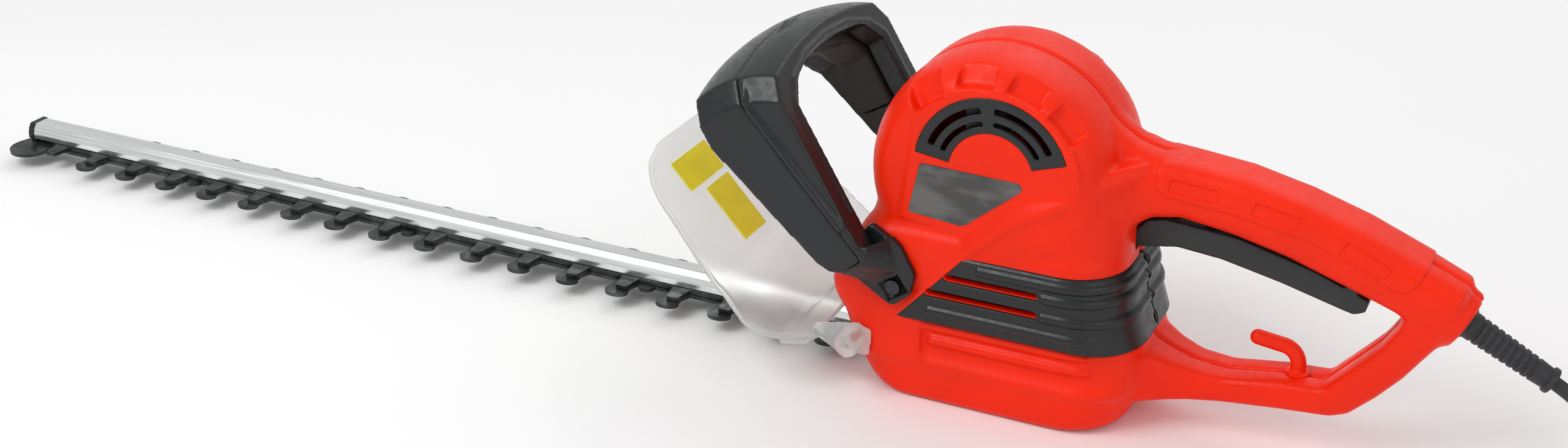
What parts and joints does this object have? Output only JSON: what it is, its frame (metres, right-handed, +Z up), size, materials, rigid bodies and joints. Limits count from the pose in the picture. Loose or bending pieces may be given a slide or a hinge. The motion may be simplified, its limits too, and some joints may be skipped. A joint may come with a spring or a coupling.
{
  "type": "hedge trimmer",
  "caption": "Corded electric hedge trimmer with a long toothed blade under a guard bar, clear hand guard, bail front handle with switch lever and D-shaped rear handle with long trigger.",
  "frame": {"origin": "on the flat resting face of the base, straight below the motor shaft", "axes": "+X from the blade tip towards the rear handle, +Y the machine's right side, +Z up"},
  "size_m": [1.055, 0.172, 0.1737],
  "materials": {
    "blade_steel": "blackened hardened steel with a dull sheen",
    "bar_aluminium": "extruded bright aluminium",
    "fastener_steel": "zinc plated steel",
    "black_screws": "blackened steel screws",
    "zinc_plate": "pressed zinc plated plate",
    "red_plastic": "fine-textured red moulded nylon",
    "black_plastic": "fine-textured black moulded nylon",
    "lever_plastic": "smooth satin black plastic",
    "label_gloss": "blank glossy dark label film",
    "clear_plastic": "milky translucent polypropylene",
    "spring_steel": "spring wire",
    "cast_aluminium": "die-cast aluminium",
    "gear_steel": "ground steel",
    "bearing_steel": "polished bearing steel",
    "lamination_steel": "stacked laminations",
    "copper_wire": "enamelled copper wire",
    "copper_bar": "turned copper segments",
    "brass_parts": "pressed brass",
    "carbon": "pressed carbon",
    "switch_plastic": "moulded switch body",
    "cord_rubber": "smooth black rubber"
  },
  "bodies": {
    "housing": {"comb_blade": "blade_steel", "guard_bar": "bar_aluminium", "bar_end_cap": "black_plastic", "bar_bolts": "fastener_steel", "blade_bushes": "fastener_steel", "housing_left": "red_plastic", "housing_right": "red_plastic", "base_plate": "zinc_plate", "housing_screws": "fastener_steel", "vent_grille_left": "black_plastic", "rib_band_left": "black_plastic", "vent_grille_right": "black_plastic", "rib_band_right": "black_plastic", "label_plates": "label_gloss", "grip_saddle": "red_plastic", "cable_hook": "red_plastic", "bail_front_shell": "black_plastic", "bail_rear_shell": "black_plastic", "bail_lever_springs": "spring_steel", "front_switch": "switch_plastic", "bail_screws": "black_screws", "hand_guard": "clear_plastic", "guard_screws": "fastener_steel", "gear_case": "cast_aluminium", "crank_bearing": "bearing_steel", "stator_core": "lamination_steel", "field_coils": "copper_wire", "brush_holders": "brass_parts", "carbon_brushes": "carbon", "brush_springs": "spring_steel", "lower_motor_bearing": "bearing_steel", "upper_motor_bearing": "bearing_steel", "bearing_bridge": "lever_plastic", "trigger_pin": "fastener_steel", "trigger_spring": "spring_steel", "rear_switch": "switch_plastic", "capacitor": "switch_plastic", "strain_relief": "cord_rubber", "cord_clamp": "lever_plastic", "mains_cord": "cord_rubber", "plug_body": "cord_rubber", "plug_pins": "brass_parts"},
    "blade": {"moving_blade": "blade_steel"},
    "drive": {"drive_gear": "gear_steel", "crank_shaft": "gear_steel"},
    "armature": {"armature_shaft": "gear_steel", "armature_core": "lamination_steel", "armature_windings": "copper_wire", "commutator": "copper_bar", "cooling_fan": "lever_plastic", "pinion": "gear_steel"},
    "trigger_body": {"trigger": "lever_plastic"},
    "bail_lever_body": {"bail_lever": "lever_plastic"}
  },
  "joints": [
    {"name": "armature_spin", "type": "hinge", "parent": "housing", "child": "armature", "pos_m": [0, 0, 0.09], "axis": [0, 0, 1], "continuous": true},
    {"name": "gear_spin", "type": "hinge", "parent": "housing", "child": "drive", "pos_m": [-0.028, 0, 0.03], "axis": [0, 0, 1], "continuous": true},
    {"name": "blade_slide", "type": "slide", "parent": "housing", "child": "blade", "axis": [1, 0, 0], "range_m": [-0.016, 0]},
    {"name": "trigger_press", "type": "hinge", "parent": "housing", "child": "trigger_body", "pos_m": [0.163, 0, 0.0865], "axis": [0, 1, 0], "range_deg": [0, 4], "stiffness_Nm_per_rad": 0.8, "springref_deg": -14.32, "deforming": ["trigger_spring"]},
    {"name": "bail_lever_press", "type": "slide", "parent": "housing", "child": "bail_lever_body", "axis": [-0.515, 0, 0.8572], "range_m": [0, 0.0035], "stiffness_N_per_m": 600, "springref_m": -0.004, "deforming": ["bail_lever_springs"]}
  ],
  "couplings": [
    {"joint": "gear_spin", "follows": "armature_spin", "ratio": -0.21739}
  ]
}
